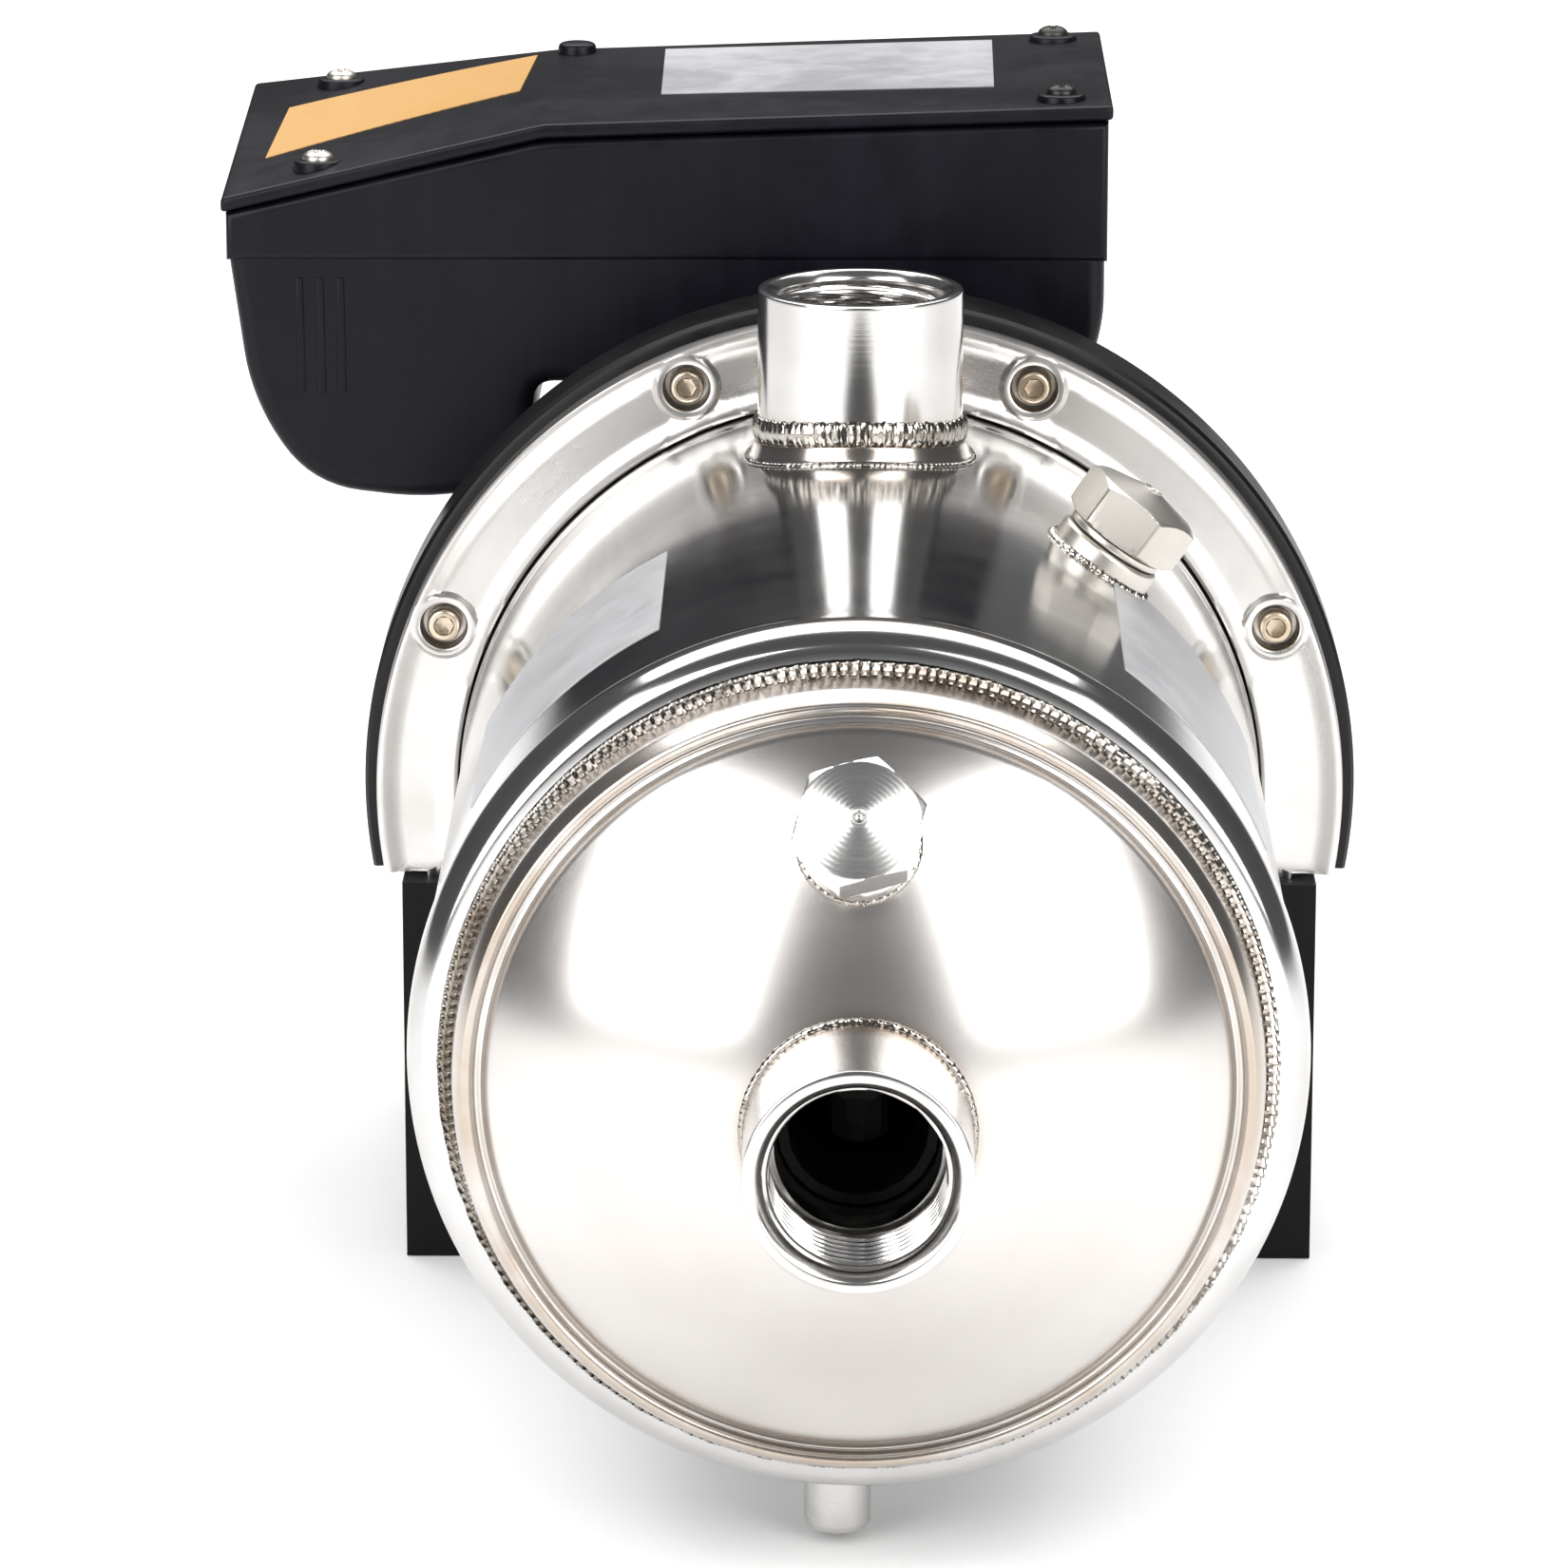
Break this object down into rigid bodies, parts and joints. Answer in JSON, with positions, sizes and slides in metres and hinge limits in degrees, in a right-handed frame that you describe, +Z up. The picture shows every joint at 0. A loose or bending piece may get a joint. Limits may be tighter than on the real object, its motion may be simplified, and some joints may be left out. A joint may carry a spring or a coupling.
{
  "type": "shallow well jet pump",
  "caption": "Self-priming shallow well jet pump with a stainless barrel casing, built-in ejector, electric motor, overhanging terminal box and plastic stand.",
  "frame": {"origin": "underside of the stand, below the pump's axis and midway along the stand", "axes": "+Z up; -Y from the motor towards the suction mouth, along the pump's axis; +X to the right seen from the suction end"},
  "size_m": [0.2314, 0.4166, 0.2337],
  "materials": {
    "polished_stainless": "bright rolled sheet, fine turning lines, weld tint at the seams",
    "turned_stainless": "turned and satin",
    "black_plastic": "fine-grained moulded, satin",
    "black_paint": "black paint on die-cast aluminium",
    "rubber": "plain matt",
    "electrical_steel": "stacked laminations",
    "copper_winding": "varnished copper wire",
    "screw_steel": "plated, slightly warm",
    "brass": "machined",
    "seal_face": "lapped ceramic",
    "grey_plastic": "moulded"
  },
  "bodies": {
    "pump": {"barrel_shell": "polished_stainless", "box_lid": "black_plastic", "cable_gland": "black_plastic", "capacitor": "grey_plastic", "casing_o_ring": "rubber", "clamp_ring": "turned_stainless", "cover_screw_1": "screw_steel", "cover_screw_2": "screw_steel", "cover_screw_3": "screw_steel", "discharge_port": "turned_stainless", "drain_boss": "turned_stainless", "ejector_body": "black_plastic", "ejector_nozzle": "grey_plastic", "fan_cover": "black_plastic", "flange_screw_1": "screw_steel", "flange_screw_2": "screw_steel", "flange_screw_3": "screw_steel", "flange_screw_4": "screw_steel", "flange_screw_5": "screw_steel", "flange_screw_6": "screw_steel", "flange_screw_7": "screw_steel", "flange_screw_8": "screw_steel", "front_bearing": "polished_stainless", "front_cap": "polished_stainless", "front_winding": "copper_winding", "gauge_plug_boss": "turned_stainless", "guide_bowl": "black_plastic", "lid_screw_1": "screw_steel", "lid_screw_2": "screw_steel", "lid_screw_3": "screw_steel", "lid_screw_4": "screw_steel", "motor_bracket": "black_paint", "motor_frame": "black_paint", "priming_plug_boss": "turned_stainless", "rear_bearing": "polished_stainless", "rear_shield": "black_paint", "rear_winding": "copper_winding", "seal_plate": "polished_stainless", "shaft_seal_seat": "seal_face", "stand": "black_plastic", "stator_core": "electrical_steel", "suction_port": "turned_stainless", "terminal_block": "grey_plastic", "terminal_box": "black_plastic"},
    "rotor": {"cooling_fan": "black_plastic", "impeller": "brass", "impeller_nut": "brass", "motor_shaft": "polished_stainless", "rotor_core": "electrical_steel", "shaft_seal_head": "rubber"},
    "gauge_seal": {"gauge_plug_washer": "rubber"},
    "gauge_plug": {"gauge_plug": "turned_stainless"},
    "priming_seal": {"priming_plug_washer": "rubber"},
    "priming_plug": {"priming_plug": "turned_stainless"},
    "drain_seal": {"drain_seal": "rubber"},
    "drain_plug": {"drain_plug": "screw_steel"}
  },
  "joints": [
    {"name": "rotor_spin", "type": "hinge", "parent": "pump", "child": "rotor", "pos_m": [0, 0, 0.097], "axis": [0, 1, 0], "continuous": true},
    {"name": "gauge_plug_lift", "type": "slide", "parent": "pump", "child": "gauge_seal", "axis": [0, -0.8572, 0.515], "range_m": [0, 0.00802]},
    {"name": "gauge_plug_turn", "type": "hinge", "parent": "gauge_seal", "child": "gauge_plug", "pos_m": [0, -0.27608, 0.14593], "axis": [0, -0.8572, 0.515], "range_deg": [0, 2161]},
    {"name": "priming_plug_lift", "type": "slide", "parent": "pump", "child": "priming_seal", "axis": [0.5736, 0, 0.8192], "range_m": [0, 0.00802]},
    {"name": "priming_plug_turn", "type": "hinge", "parent": "priming_seal", "child": "priming_plug", "pos_m": [0.04589, -0.1337, 0.16253], "axis": [0.5736, 0, 0.8192], "range_deg": [0, 2161]},
    {"name": "drain_plug_lift", "type": "slide", "parent": "pump", "child": "drain_seal", "axis": [0, 0, -1], "range_m": [0, 0.0016]},
    {"name": "drain_plug_turn", "type": "hinge", "parent": "drain_seal", "child": "drain_plug", "pos_m": [-0.0037, -0.2276, 0.003], "axis": [0, 0, -1], "range_deg": [0, 721]}
  ],
  "couplings": [
    {"joint": "gauge_plug_turn", "follows": "gauge_plug_lift", "rad_per_m": 4699.5},
    {"joint": "priming_plug_turn", "follows": "priming_plug_lift", "rad_per_m": 4699.5},
    {"joint": "drain_plug_turn", "follows": "drain_plug_lift", "rad_per_m": 7854}
  ]
}
